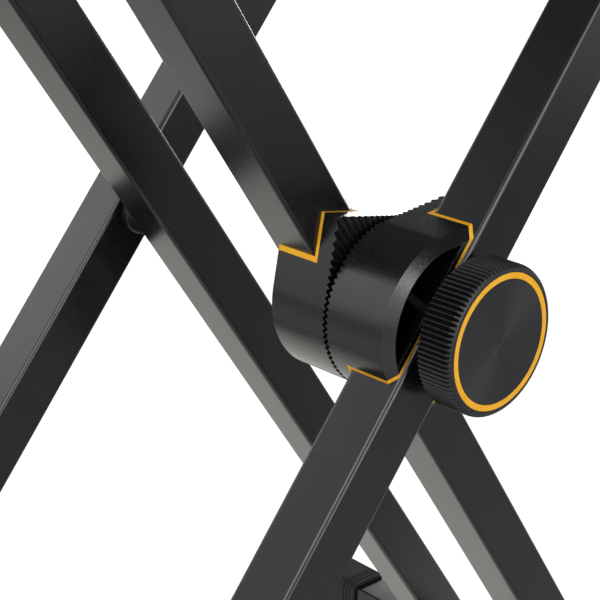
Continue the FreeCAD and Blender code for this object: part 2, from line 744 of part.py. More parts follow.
# Rear pivot: a bolt inside the tubes, screwed from behind into a nut in the inner leg.
bush_end = size.flange_thick + size.bush_length
bush = turned("pivot_bush", [
    (bolt_bore, 0), (size.bush_flange_radius, 0), (size.bush_flange_radius, size.flange_thick),
    (sleeve_radius, size.flange_thick), (sleeve_radius, bush_end), (bolt_bore, bush_end)])
move(bush, 0, outer_back - size.flange_thick, size.pivot_height)
keep(bush, "pivot_bush")

spacer_length = size.leg_gap - size.flange_thick - size.seat_gap
spacer = turned("pivot_spacer", ring_profile(hole_radius, size.spacer_radius, spacer_length))
for y in (0, spacer_length.value):
    dress(spacer, "Fillet", spacer.Tip, y, size.spacer_round, widest=True)
move(spacer, 0, inner_face, size.pivot_height)
keep(spacer, "pivot_spacer")


def hexagon_along_y(name, corner, start, length):
    prism = doc.addObject("Part::Prism", name)
    prism.Polygon = 6
    prism.Placement = Placement(Vector(), Rotation(Vector(1, 0, 0), -90))
    bind(prism, "Circumradius", corner)
    bind(prism, "Height", length)
    move(prism, 0, start, size.pivot_height)
    return prism


nut_start = inner_face - size.tube_wall - size.nut_height
nut = hexagon_along_y("pivot_nut_blank", size.nut_corner, nut_start, size.nut_height)
tap_length = size.nut_height + size.overrun * 2
tap = cylinder_along_y("pivot_nut_tap", bolt_bore, nut_start - size.overrun, tap_length)
keep(boolean("Cut", "pivot_nut", nut, tap), "pivot_nut")

# The washer leaves room for the outer frame to slide towards it as the clutch closes.
pivot_washer_start = outer_back + size.bush_length + size.seat_gap + size.clutch_slack
pivot_washer_ring = ring_profile(hole_radius, size.pivot_washer_radius, size.washer_thick)
pivot_washer = turned("pivot_washer", pivot_washer_ring)
move(pivot_washer, 0, pivot_washer_start, size.pivot_height)
keep(pivot_washer, "pivot_washer")

tail_start = nut_start - size.bolt_tail
pivot_shank = pivot_washer_start + size.washer_thick - tail_start
pivot_end = pivot_shank + size.pivot_head_height
pivot_blank = turned("pivot_bolt_blank", [
    (0, 0), (size.bolt_radius, 0), (size.bolt_radius, pivot_shank), (size.pivot_head_radius, pivot_shank),
    (size.pivot_head_radius, pivot_end), (0, pivot_end)])
dress(pivot_blank, "Fillet", pivot_blank.Tip, pivot_end.value, size.pivot_head_round)
move(pivot_blank, 0, tail_start, size.pivot_height)
socket_start = tail_start + pivot_end - size.socket_depth
socket_cut = size.socket_depth + size.overrun
socket = hexagon_along_y("pivot_bolt_socket", size.socket_corner, socket_start, socket_cut)
keep(boolean("Cut", "pivot_bolt", pivot_blank, socket), "pivot_bolt")

# Plug over the hole in the outer leg that the bolt goes in by.
spigot_radius = size.access_radius - size.running_gap
spigot_bore = spigot_radius - size.plug_wall
plug_end = size.plug_spigot + size.plug_flange
plug = turned("pivot_plug", [
    (spigot_bore, 0), (spigot_radius, 0), (spigot_radius, size.plug_spigot),
    (size.plug_radius, size.plug_spigot), (size.plug_radius, plug_end), (0, plug_end),
    (0, size.plug_spigot), (spigot_bore, size.plug_spigot)])
dress(plug, "Fillet", plug.Tip, plug_end.value, size.plug_round)
move(plug, 0, outer_face - size.plug_spigot, size.pivot_height)
keep(plug, "pivot_plug")

doc.recompute()

failed = [thing.Name for thing in doc.Objects if {"Invalid", "Error"} & set(thing.State)]
for thing in subparts:
    shape = thing.Shape
    if shape.isNull() or not shape.isValid() or len(shape.Solids) != 1:
        failed.append(thing.Label)
if failed:
    raise RuntimeError("not built: " + ", ".join(failed))

os.makedirs("parts", exist_ok=True)
for thing in subparts:
    thing.Shape.exportStep(f"parts/{thing.Label}.step")
print(f"{len(subparts)} sub-parts written")
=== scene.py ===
import bpy
import json
import math
from mathutils import Matrix, Vector


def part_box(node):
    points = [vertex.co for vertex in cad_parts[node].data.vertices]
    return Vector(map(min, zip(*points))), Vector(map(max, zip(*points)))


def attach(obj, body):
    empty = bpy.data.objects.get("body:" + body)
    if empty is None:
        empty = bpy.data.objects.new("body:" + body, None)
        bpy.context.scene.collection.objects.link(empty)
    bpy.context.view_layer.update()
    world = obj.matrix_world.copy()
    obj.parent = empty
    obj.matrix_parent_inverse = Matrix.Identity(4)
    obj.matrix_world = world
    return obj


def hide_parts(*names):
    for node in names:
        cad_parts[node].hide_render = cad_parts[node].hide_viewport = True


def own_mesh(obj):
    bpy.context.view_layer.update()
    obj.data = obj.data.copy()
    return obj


# folding keyboard stand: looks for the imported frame, everything in metres

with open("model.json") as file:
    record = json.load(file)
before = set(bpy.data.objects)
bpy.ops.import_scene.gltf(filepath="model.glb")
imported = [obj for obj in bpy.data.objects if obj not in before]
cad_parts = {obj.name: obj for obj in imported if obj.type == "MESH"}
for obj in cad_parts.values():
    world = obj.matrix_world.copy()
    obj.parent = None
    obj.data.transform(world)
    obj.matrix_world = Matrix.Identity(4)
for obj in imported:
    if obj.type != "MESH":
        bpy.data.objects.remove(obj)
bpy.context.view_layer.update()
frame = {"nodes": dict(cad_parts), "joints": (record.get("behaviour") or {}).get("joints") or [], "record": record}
nodes = frame["nodes"]
record = frame["record"]
joints = {joint["name"]: joint for joint in frame["joints"]}
pivot = Vector(joints["fold"]["pos_m"])
bodyOf = {node: body for body, members in record["behaviour"]["bodies"].items() for node in members}
slotOf = {part["node"]: part["material_slot"] for part in record["subparts"]}
tiny = 1e-5  # places this near count as the same
mergeGap = tiny / 10
facing = 0.9  # a face looks along an axis when this much of its normal does
areaWeight = 100  # how far large faces lead in the shading
print("frame loaded:", len(nodes), "nodes")


# selecting and editing, as by hand

def backToObject():
    bpy.ops.object.mode_set(mode="OBJECT")


def clearSelection():
    if bpy.context.object and bpy.context.object.mode != "OBJECT":
        backToObject()
    bpy.ops.object.select_all(action="DESELECT")


def pickOnly(piece):
    clearSelection()
    piece.select_set(True)
    bpy.context.view_layer.objects.active = piece


def openPiece(piece, pickBy, action):
    pickOnly(piece)
    bpy.ops.object.mode_set(mode="EDIT")
    bpy.ops.mesh.select_mode(type=pickBy)
    bpy.ops.mesh.select_all(action=action)


def pickAll(piece):
    openPiece(piece, "VERT", "SELECT")


def pickEdges(piece, wanted):
    openPiece(piece, "EDGE", "DESELECT")
    backToObject()
    spots = piece.data.vertices
    for edge in piece.data.edges:
        edge.select = wanted(*(spots[index].co for index in edge.vertices))
    bpy.ops.object.mode_set(mode="EDIT")


def pickFaces(piece, wanted):
    openPiece(piece, "FACE", "DESELECT")
    backToObject()
    for face in piece.data.polygons:
        face.select = wanted(face.center, face.normal)
    bpy.ops.object.mode_set(mode="EDIT")


def pickSpots(piece, chosen):
    openPiece(piece, "VERT", "DESELECT")
    backToObject()
    for index in chosen:
        piece.data.vertices[index].select = True
    bpy.ops.object.mode_set(mode="EDIT")


def settle(piece):  # place, turn and size go into the mesh
    pickOnly(piece)
    bpy.ops.object.transform_apply(location=True, rotation=True, scale=True)


def addModifier(piece, kind, **settings):
    modifier = piece.modifiers.new(kind.lower(), kind)
    for key, value in settings.items():
        setattr(modifier, key, value)
    pickOnly(piece)
    bpy.ops.object.modifier_apply(modifier=modifier.name)


def smoothEdges(piece, angle):  # edges sharper than this many degrees stay crisp
    pickOnly(piece)
    bpy.ops.object.shade_smooth_by_angle(angle=math.radians(angle))
    addModifier(piece, "WEIGHTED_NORMAL", mode="FACE_AREA", weight=areaWeight, keep_sharp=True)


def newCube(name, low, high):
    clearSelection()
    bpy.ops.mesh.primitive_cube_add(size=1, location=(low + high) / 2)
    piece = bpy.context.object
    piece.name = name
    piece.scale = high - low
    settle(piece)
    return piece


def cutAway(piece, cutter):
    addModifier(piece, "BOOLEAN", operation="DIFFERENCE", solver="EXACT", object=cutter)
    bpy.data.objects.remove(cutter)


def sliceAt(piece, place, normal):  # new edges where a plane crosses the piece
    pickAll(piece)
    bpy.ops.mesh.bisect(plane_co=place, plane_no=normal)
    backToObject()


def sinkFaces(piece, wanted, depth):
    pickFaces(piece, wanted)
    bpy.ops.mesh.extrude_region_shrink_fatten(TRANSFORM_OT_shrink_fatten={"value": -depth})
    backToObject()


def cadCopy(node, name):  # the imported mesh, merged into one skin
    mesh = nodes[node].data.copy()
    mesh.materials.clear()
    piece = bpy.data.objects.new(name, mesh)
    bpy.context.scene.collection.objects.link(piece)
    pickAll(piece)
    bpy.ops.mesh.remove_doubles(threshold=mergeGap)
    backToObject()
    return piece


def seat(piece, node, finish):  # piece stands for the node and moves with its body
    piece.data.materials.clear()
    piece.data.materials.append(finish)
    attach(piece, bodyOf[node])
    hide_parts(node)


# finishes: noise is given as scale and detail, roughness as low and high, bump as strength and depth

class NodeBoard:
    def __init__(self, name):
        self.material = bpy.data.materials.new(name)
        self.material.use_nodes = True
        self.tree = self.material.node_tree
        self.shader = self.tree.nodes["Principled BSDF"]
        self.coords = self.add("ShaderNodeTexCoord").outputs["Object"]

    def add(self, kind, **settings):
        node = self.tree.nodes.new(kind)
        for key, value in settings.items():
            setattr(node, key, value)
        return node

    def link(self, start, end):
        self.tree.links.new(start, end)

    def setShader(self, **values):
        for key, value in values.items():
            self.shader.inputs[key].default_value = value

    def noise(self, scale, detail, breakUp=0.55):
        node = self.add("ShaderNodeTexNoise")
        node.inputs["Scale"].default_value = scale
        node.inputs["Detail"].default_value = detail
        node.inputs["Roughness"].default_value = breakUp
        self.link(self.coords, node.inputs["Vector"])
        return node.outputs["Fac"]

    def span(self, source, low, high, fromLow=0.3, fromHigh=0.7):
        node = self.add("ShaderNodeMapRange")
        node.inputs["From Min"].default_value = fromLow
        node.inputs["From Max"].default_value = fromHigh
        node.inputs["To Min"].default_value = low
        node.inputs["To Max"].default_value = high
        self.link(source, node.inputs["Value"])
        return node.outputs["Result"]

    def colour(self, factor, first, second):
        node = self.add("ShaderNodeMix", data_type="RGBA")
        inputs = [socket for socket in node.inputs if socket.type == "RGBA"]
        inputs[0].default_value = (*first, 1)
        inputs[1].default_value = (*second, 1)
        self.link(factor, node.inputs["Factor"])
        mixed = [socket for socket in node.outputs if socket.type == "RGBA"][0]
        self.link(mixed, self.shader.inputs["Base Color"])

    def gloss(self, source, roughness):
        self.link(self.span(source, *roughness), self.shader.inputs["Roughness"])

    def relief(self, height, strength, depth):
        node = self.add("ShaderNodeBump")
        node.inputs["Strength"].default_value = strength
        node.inputs["Distance"].default_value = depth
        self.link(height, node.inputs["Height"])
        self.link(node.outputs["Normal"], self.shader.inputs["Normal"])

    def mottle(self, look):  # colour that wanders between two tones
        self.colour(self.span(self.noise(*look["mottle"]), 0, 1), look["dark"], look["light"])

    def grain(self, look):  # one fine noise for gloss and relief
        grain = self.noise(*look["grain"])
        self.gloss(grain, look["roughness"])
        self.relief(grain, *look["bump"])


def powderCoat():
    look = {
        "dark": (0.0052, 0.0053, 0.0066), "light": (0.0072, 0.0073, 0.0090), "mottle": (60, 4),
        "grain": (1500, 2), "roughness": (0.20, 0.28), "bump": (0.04, 0.0002), "ior": 1.5,
    }
    board = NodeBoard("powderCoat")
    board.mottle(look)
    board.grain(look)
    board.setShader(IOR=look["ior"])
    return board.material


def sandedCasting():
    look = {
        "dark": (0.0020, 0.0020, 0.0022), "light": (0.0045, 0.0045, 0.0047), "mottle": (90, 5),
        "grain": (1150, 3, 0.7), "roughness": (0.20, 0.30), "bump": (0.18, 0.0003), "ior": 1.7,
    }
    board = NodeBoard("sandedCasting")
    board.mottle(look)
    board.grain(look)
    board.setShader(IOR=look["ior"])
    return board.material


def mouldedBlack():
    look = {
        "dark": (0.0042, 0.0043, 0.0048), "light": (0.0070, 0.0071, 0.0076), "mottle": (120, 4),
        "grain": (1700, 2), "roughness": (0.36, 0.48), "bump": (0.08, 0.0002), "ior": 1.5,
    }
    board = NodeBoard("mouldedBlack")
    board.mottle(look)
    board.grain(look)
    board.setShader(IOR=look["ior"])
    return board.material


def flutedBlackShadedFlutes():  # painted shade: the colour darkens to near black with depth down the flutes; the ridges and the face band keep the plain tone
    look = {
        "groove": (0.0010, 0.0010, 0.0012), "ridge": (0.0150, 0.0153, 0.0168), "grooveDepth": 0.0005,
        "grain": (1700, 2), "roughness": (0.36, 0.48), "bump": (0.08, 0.0002), "ior": 1.42,
    }
    board = NodeBoard("flutedBlackShadedFlutes")
    depth = board.add("ShaderNodeAttribute", attribute_name="fluteDepth").outputs["Fac"]
    # painted shade: the ridge tone runs to the near-black groove tone as the flute depth grows
    board.colour(board.span(depth, 0, 1, 0, look["grooveDepth"]), look["ridge"], look["groove"])
    board.grain(look)
    board.setShader(IOR=look["ior"])
    return board.material


def turnedFace():
    look = {
        "dark": (0.0075, 0.0075, 0.0086), "light": (0.0135, 0.0135, 0.0150),
        "ringStep": 0.00055, "ringDetail": 4,
        "roughness": (0.42, 0.56), "bump": (0.10, 0.0001), "ior": 1.5, "brushing": 0.6,
    }
    board = NodeBoard("turnedFace")
    centre = board.add("ShaderNodeMapping")
    centre.inputs["Location"].default_value = (-pivot.x, 0, -pivot.z)
    centre.inputs["Scale"].default_value = (1, 0, 1)
    board.link(board.coords, centre.inputs["Vector"])
    radius = board.add("ShaderNodeVectorMath", operation="LENGTH")
    board.link(centre.outputs["Vector"], radius.inputs[0])
    noise = board.add("ShaderNodeTexNoise", noise_dimensions="1D")
    noise.inputs["Scale"].default_value = 1 / look["ringStep"]
    noise.inputs["Detail"].default_value = look["ringDetail"]
    board.link(radius.outputs["Value"], noise.inputs["W"])
    rings = noise.outputs["Fac"]
    board.colour(board.span(rings, 0, 1), look["dark"], look["light"])
    board.gloss(rings, look["roughness"])
    board.relief(rings, *look["bump"])
    board.setShader(IOR=look["ior"], Anisotropic=look["brushing"])
    tangent = board.add("ShaderNodeTangent", direction_type="RADIAL", axis="Y")
    board.link(tangent.outputs["Tangent"], board.shader.inputs["Tangent"])
    return board.material


def orangePlastic():
    look = {
        "dark": (0.96, 0.44, 0.022), "light": (0.99, 0.53, 0.036), "mottle": (150, 3),
        "grain": (1300, 2), "roughness": (0.42, 0.55), "bump": (0.06, 0.0002), "ior": 1.36,
    }
    board = NodeBoard("orangePlastic")
    board.mottle(look)
    board.grain(look)
    board.setShader(IOR=look["ior"])
    return board.material


def blackRubber():
    look = {
        "dark": (0.010, 0.010, 0.0105), "light": (0.020, 0.020, 0.0205), "mottle": (45, 5),
        "grain": (900, 3), "roughness": (0.66, 0.84), "bump": (0.09, 0.0003), "ior": 1.48,
    }
    board = NodeBoard("blackRubber")
    board.mottle(look)
    board.grain(look)
    board.setShader(IOR=look["ior"])
    return board.material


def zincPlate():
    look = {
        "dark": (0.50, 0.51, 0.52), "light": (0.68, 0.69, 0.70), "mottle": (160, 5),
        "grain": (700, 3), "roughness": (0.24, 0.38), "bump": (0.08, 0.0001),
    }
    board = NodeBoard("zincPlate")
    board.mottle(look)
    board.grain(look)
    board.setShader(Metallic=1.0)
    return board.material


def turnedBrass():
    look = {
        "dark": (0.55, 0.38, 0.13), "light": (0.75, 0.56, 0.22),
        "grain": (900, 3), "roughness": (0.25, 0.4),
    }
    board = NodeBoard("turnedBrass")
    grain = board.noise(*look["grain"])
    board.colour(board.span(grain, 0, 1), look["dark"], look["light"])
    board.gloss(grain, look["roughness"])
    board.setShader(Metallic=1.0)
    return board.material


finishes = {
    "powder_coat": powderCoat(),
    "black_casting": sandedCasting(),
    "black_plastic": mouldedBlack(),
    "knob_grip": flutedBlackShadedFlutes(),
    "face_disc": turnedFace(),
    "orange_plastic": orangePlastic(),
    "black_rubber": blackRubber(),
    "zinc_steel": zincPlate(),
    "brass": turnedBrass(),
}
for node, piece in nodes.items():
    piece.data.materials.clear()
    piece.data.materials.append(finishes[slotOf[node]])
print("finishes set:", len(finishes))


# square tubes: four leaning legs, two arms and two floor bars, all hollow with rounded corners

tubeShape = {
    "side": 0.030, "corner": 0.0025, "cornerSteps": 5, "wall": 0.0015, "smooth": 32, "lean": 37.0,
    "legSpare": 0.06, "notchSpare": 0.08, "holeSides": 48,  # spare lengths are cut away
}
legHoles = {
    # radius in the front wall and in the back wall, 0 for none
    "outer_leg_front": (0.0071, 0.0071), "outer_leg_rear": (0.00705, 0.0105),
    "inner_leg_front": (0.0053, 0.0053), "inner_leg_rear": (0, 0.0053),
}


def hollowTube(name, middle, length):  # stands upright on its own middle until it is turned
    clearSelection()
    bpy.ops.mesh.primitive_cube_add(size=1, location=middle)
    tube = bpy.context.object
    tube.name = name
    tube.scale = (tubeShape["side"], tubeShape["side"], length)
    bpy.ops.object.transform_apply(location=False, rotation=False, scale=True)
    pickEdges(tube, lambda a, b: abs(a.z - b.z) > length / 2)
    bpy.ops.mesh.bevel(offset=tubeShape["corner"], segments=tubeShape["cornerSteps"], affect="EDGES")
    pickFaces(tube, lambda center, normal: abs(normal.z) > facing)
    bpy.ops.mesh.delete(type="FACE")
    backToObject()
    addModifier(tube, "SOLIDIFY", thickness=tubeShape["wall"], offset=-1, use_even_offset=True)
    return tube


def drillAt(y, radius):
    clearSelection()
    bpy.ops.mesh.primitive_cylinder_add(
        vertices=tubeShape["holeSides"], radius=radius, depth=tubeShape["side"],
        location=(pivot.x, y, pivot.z), rotation=(math.radians(90), 0, 0))
    drill = bpy.context.object
    settle(drill)
    return drill


def notchFor(leg, bar):  # block that takes in the bar and all that lies beyond it
    low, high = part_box(leg)
    barLow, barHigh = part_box(bar)
    spare = Vector((tubeShape["notchSpare"],) * 3)
    notchLow = Vector((barLow.x, low.y, barLow.z)) - spare
    notchHigh = Vector((barHigh.x, high.y, barHigh.z)) + spare
    if barLow.x > pivot.x:
        notchLow.x = barLow.x
    else:
        notchHigh.x = barHigh.x
    if barLow.z > pivot.z:
        notchLow.z = barLow.z
    else:
        notchHigh.z = barHigh.z
    return newCube("notch", notchLow, notchHigh)


def makeLeg(node):
    low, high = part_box(node)
    frameName = node.split("_")[0]
    lean = math.radians(tubeShape["lean"])
    if frameName == "inner":  # these lean the other way
        lean = -lean
    leg = hollowTube(node + ".tube", Vector((pivot.x, (low.y + high.y) / 2, pivot.z)),
                     (high.z - low.z + tubeShape["legSpare"]) / math.cos(lean))
    leg.rotation_euler.y = lean
    settle(leg)
    for place in ("foot", "arm"):
        cutAway(leg, notchFor(node, f"{frameName}_{place}_bar"))
    for y, radius in zip((low.y, high.y), legHoles[node]):
        if radius:
            cutAway(leg, drillAt(y, radius))
    smoothEdges(leg, tubeShape["smooth"])
    seat(leg, node, finishes["powder_coat"])


def makeBar(node):
    low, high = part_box(node)
    bar = hollowTube(node + ".tube", (low + high) / 2, high.y - low.y)
    bar.rotation_euler.x = math.radians(90)
    settle(bar)
    smoothEdges(bar, tubeShape["smooth"])
    seat(bar, node, finishes["powder_coat"])


for legName in legHoles:
    makeLeg(legName)
for barName in ("outer_arm_bar", "inner_arm_bar", "outer_foot_bar", "inner_foot_bar"):
    makeBar(barName)
print("tubes made")


# weld beads where a leg lies on a bar and against its inner side

weldShape = {
    "radius": 0.0019, "rounds": 3, "cuts": 7, "padRoom": 0.003,  # room left for the arm pad's edge
    "ripple": 0.0009, "rippleSize": 0.0032, "rippleMiddle": 0.6,
}


def weldLoop(leg, bar):
    legLow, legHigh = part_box(leg)
    barLow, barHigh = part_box(bar)
    inward = 1 if barLow.x < pivot.x else -1  # towards the middle of the stand
    up = 1 if barLow.z < pivot.z else -1  # from the bar into the leg
    slope = math.tan(math.radians(tubeShape["lean"])) * inward * up
    half = tubeShape["side"] / 2 / math.cos(math.radians(tubeShape["lean"]))
    seatZ = barHigh.z if up > 0 else barLow.z
    sideX = barHigh.x if inward > 0 else barLow.x
    outerX = pivot.x + (seatZ - pivot.z) * slope - half * inward
    tipZ = pivot.z + (sideX - half * inward - pivot.x) / slope
    if up < 0:
        tipZ -= weldShape["padRoom"]
    front, back = legLow.y, legHigh.y
    return [Vector(spot) for spot in (
        (outerX, front, seatZ), (outerX, back, seatZ), (sideX, back, seatZ), (sideX, back, tipZ),
        (sideX, front, tipZ), (sideX, front, seatZ))]


def makeWeld(leg, place, ripple):
    path = bpy.data.curves.new("weldPath", "CURVE")
    path.dimensions = "3D"
    path.bevel_depth = weldShape["radius"]
    path.bevel_resolution = weldShape["rounds"]
    line = path.splines.new("POLY")
    corners = weldLoop(leg, f"{leg.split('_')[0]}_{place}_bar")
    line.points.add(len(corners) - 1)
    for point, corner in zip(line.points, corners):
        point.co = (*corner, 1)
    line.use_cyclic_u = True
    weld = bpy.data.objects.new(f"{leg}.{place}Weld", path)
    bpy.context.scene.collection.objects.link(weld)
    pickOnly(weld)
    bpy.ops.object.convert(target="MESH")
    pickAll(weld)
    bpy.ops.mesh.subdivide(number_cuts=weldShape["cuts"])
    backToObject()
    addModifier(weld, "DISPLACE", texture=ripple, texture_coords="GLOBAL", strength=weldShape["ripple"],
                mid_level=weldShape["rippleMiddle"])
    pickOnly(weld)
    bpy.ops.object.shade_smooth()
    weld.data.materials.clear()
    weld.data.materials.append(finishes["powder_coat"])
    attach(weld, bodyOf[leg])


weldRipple = bpy.data.textures.new("weldRipple", "CLOUDS")
weldRipple.noise_scale = weldShape["rippleSize"]
for legName in legHoles:
    for place in ("arm", "foot"):
        makeWeld(legName, place, weldRipple)
print("welds laid")


# turned pieces: a profile of radius and depth, drawn point by point and spun about the pivot axis

seedSize = 0.0015  # plane that the profile's first point is merged from


def turnPiece(name, profile, steps, closed=True):
    spots = [Vector((pivot.x + radius, y, pivot.z)) for radius, y in profile]
    clearSelection()
    bpy.ops.mesh.primitive_plane_add(size=seedSize, location=spots[0])
    piece = bpy.context.object
    piece.name = name
    settle(piece)
    pickAll(piece)
    bpy.ops.mesh.merge(type="CENTER")
    for here, there in zip(spots, spots[1:]):
        bpy.ops.mesh.extrude_vertices_move(TRANSFORM_OT_translate={"value": there - here})
    bpy.ops.mesh.select_all(action="SELECT")
    if closed:
        bpy.ops.mesh.edge_face_add()
        bpy.ops.mesh.delete(type="ONLY_FACE")
        bpy.ops.mesh.select_all(action="SELECT")
    bpy.ops.mesh.spin(steps=steps, angle=math.tau, center=(pivot.x, 0, pivot.z), axis=(0, 1, 0))
    bpy.ops.mesh.select_all(action="SELECT")
    bpy.ops.mesh.remove_doubles(threshold=tiny)
    bpy.ops.mesh.normals_make_consistent(inside=False)
    backToObject()
    return piece


def arcPoints(centre, radius, start, end, steps):  # degrees, from the radius axis towards depth
    angles = [math.radians(start + (end - start) * i / steps) for i in range(steps + 1)]
    return [(centre[0] + radius * math.cos(turn), centre[1] + radius * math.sin(turn)) for turn in angles]


# hand knob: flutes that run out in points on the rounded face edge, hollow behind, with a ribbed boss

knobShape = {
    "radius": 0.0364, "depth": 0.0186, "round": 0.0034, "roundSteps": 15, "smooth": 40,
    "flutes": 90, "columns": 8,  # columns of mesh to one flute and its ridge
    "fluteDepths": {(0,): 0.00170, (1, 7): 0.00140, (2, 6): 0.00070, (3, 5): 0.00014},  # by column
    "rimChamfer": 0.0004, "ringRadius": 0.0327, "ringWidth": 0.0030, "inlay": 0.0015, "seam": 0.00005,
    "face": 0.0050, "cavity": 0.0324, "boss": 0.0140, "bore": 0.0053,
    "insert": 0.0080, "insertLength": 0.0140,
    "ribs": 6, "ribWidth": 0.0024, "ribSetback": 0.0040,
    "ribInner": 0.0112, "ribRoot": 0.0010, "ribSink": 0.0025,  # where ribs end inside boss, wall and face
}


def sinkColumns(knob, columns, depth):  # draws these columns in to one radius, row by row
    shape = knobShape
    wanted = shape["radius"] - depth
    turn = math.tau / (shape["flutes"] * shape["columns"])
    rows = {}
    depths = knob.data.attributes["fluteDepth"].data
    for spot in knob.data.vertices:
        x, z = spot.co.x - pivot.x, spot.co.z - pivot.z
        radius = math.hypot(x, z)
        if round(math.atan2(z, x) / turn) % shape["columns"] in columns and radius > wanted + mergeGap:
            rows.setdefault(round(radius, 6), []).append(spot.index)  # a row to each micrometre
            depths[spot.index].value = radius - wanted
    for radius, spots in rows.items():
        pickSpots(knob, spots)
        scale = wanted / radius
        bpy.ops.transform.resize(value=(scale, 1, scale), center_override=(pivot.x, 0, pivot.z))
        backToObject()


def knobProfile(front, bossEnd):
    shape = knobShape
    rim, back = front + shape["depth"], front + shape["face"]
    inlayBack = front + shape["inlay"]
    insertFront = bossEnd - shape["insertLength"]
    ring = shape["ringRadius"] + shape["seam"]
    insert = shape["insert"] + shape["seam"]
    roundCentre = (shape["radius"] - shape["round"], front + shape["round"])
    profile = [(0, inlayBack), (ring, inlayBack), (ring, front)]
    profile += arcPoints(roundCentre, shape["round"], -90, 0, shape["roundSteps"])
    profile += [
        (shape["radius"], rim - shape["rimChamfer"]), (shape["radius"] - shape["rimChamfer"], rim),
        (shape["cavity"], rim), (shape["cavity"], back), (shape["boss"], back), (shape["boss"], bossEnd),
        (insert, bossEnd), (insert, insertFront), (shape["bore"], insertFront), (shape["bore"], back),
        (0, back)]
    return profile


def knobRibs(front):
    shape = knobShape
    half = shape["ribWidth"] / 2
    reach = shape["cavity"] + shape["ribRoot"]
    ribBack = front + shape["depth"] - shape["ribSetback"]
    low = Vector((pivot.x + shape["ribInner"], front + shape["ribSink"], pivot.z - half))
    high = Vector((pivot.x + reach, ribBack, pivot.z + half))
    ribs = []
    for i in range(shape["ribs"]):
        rib = newCube(f"knobRib{i}", low, high)
        pickAll(rib)
        bpy.ops.transform.rotate(value=math.tau * i / shape["ribs"], orient_axis="Y",
                                 center_override=(pivot.x, 0, pivot.z))
        backToObject()
        ribs.append(rib)
    return ribs


def makeKnob():
    low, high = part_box("knob_body")
    steps = knobShape["flutes"] * knobShape["columns"]
    knob = turnPiece("knob_body.fluted", knobProfile(low.y, high.y), steps, closed=False)
    knob.data.attributes.new("fluteDepth", "FLOAT", "POINT")  # read by the finish, which paints shade down the flutes by this depth
    for columns, depth in knobShape["fluteDepths"].items():
        sinkColumns(knob, columns, depth)
    ribs = knobRibs(low.y)
    pickOnly(knob)
    for rib in ribs:
        rib.select_set(True)
    bpy.ops.object.join()
    smoothEdges(knob, knobShape["smooth"])
    seat(knob, "knob_body", finishes["knob_grip"])


makeKnob()


# coloured ring and turned disc in the knob's face

inlayShape = {"edge": 0.00022, "dish": 0.00025, "dishHalfway": 0.000175, "steps": 180, "smooth": 20}


def makeInlays():
    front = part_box("knob_ring")[0].y
    edge, back = inlayShape["edge"], front + knobShape["inlay"]
    outer = knobShape["ringRadius"]
    inner = outer - knobShape["ringWidth"]
    ring = turnPiece("knob_ring.moulded", [
        (inner, back), (inner, front + edge), (inner + edge, front), (outer - edge, front),
        (outer, front + edge), (outer, back)], inlayShape["steps"])
    smoothEdges(ring, inlayShape["smooth"])
    seat(ring, "knob_ring", finishes["orange_plastic"])
    rim = inner - knobShape["seam"]
    disc = turnPiece("knob_disc.turned", [
        (0, back), (rim, back), (rim, front + edge), (rim - edge, front),
        (rim / 2, front + inlayShape["dishHalfway"]), (0, front + inlayShape["dish"])],
        inlayShape["steps"], closed=False)
    smoothEdges(disc, inlayShape["smooth"])
    seat(disc, "knob_disc", finishes["face_disc"])


makeInlays()
print("knob turned")


# clutch castings and their liners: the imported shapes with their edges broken

castShape = {
    "edge": 0.0005, "linerEdge": 0.0003, "edgeSteps": 2, "sharp": 28.0, "flat": 1.0,  # angles in degrees
    "smooth": 30, "toothRoom": 0.0016,  # edges this near the teeth stay sharp
}


def breakEdges(piece, width, wanted):
    pickAll(piece)
    bpy.ops.mesh.dissolve_limited(angle_limit=math.radians(castShape["flat"]))
    bpy.ops.mesh.select_mode(type="EDGE")
    bpy.ops.mesh.select_all(action="DESELECT")
    bpy.ops.mesh.edges_select_sharp(sharpness=math.radians(castShape["sharp"]))
    backToObject()
    spots = piece.data.vertices
    for edge in piece.data.edges:
        if edge.select:
            edge.select = wanted(*(spots[index].co for index in edge.vertices))
    bpy.ops.object.mode_set(mode="EDIT")
    bpy.ops.mesh.bevel(offset=width, segments=castShape["edgeSteps"], affect="EDGES", clamp_overlap=True)
    backToObject()


def makeCasting(node, toothPlane):
    casting = cadCopy(node, node + ".cast")

    def offTheTeeth(a, b):
        return min(abs(a.y - toothPlane), abs(b.y - toothPlane)) > castShape["toothRoom"]

    breakEdges(casting, castShape["edge"], offTheTeeth)
    smoothEdges(casting, castShape["smooth"])
    seat(casting, node, finishes["black_casting"])


def makeLiner(node):
    liner = cadCopy(node, node + ".moulded")
    breakEdges(liner, castShape["linerEdge"], lambda a, b: True)
    smoothEdges(liner, castShape["smooth"])
    seat(liner, node, finishes["orange_plastic"])


makeCasting("clutch_half_front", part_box("clutch_half_front")[1].y)
makeCasting("clutch_half_rear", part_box("clutch_half_rear")[0].y)
for linerName in ("clutch_liner_front", "clutch_liner_rear"):
    makeLiner(linerName)
print("clutch cast")


# rubber end caps: cups over the ends of the bars, ringed near the mouth, the feet with a grooved sole

capShape = {
    "wall": 0.0030, "corner": 0.0055, "cornerSteps": 6, "endRound": 0.0020, "endSteps": 4, "smooth": 35,
    "lip": 0.0005, "lipSteps": 2,
    "rings": (0.0040, 0.0072, 0.0104), "ringWidth": 0.0012, "ringDepth": 0.0006,  # distances from the mouth
    "skinTilt": 0.5,  # a face of the skin looks less than this along the bar
    "treads": 6, "treadWidth": 0.0022, "treadDepth": 0.0012, "treadGap": 0.0044,
}


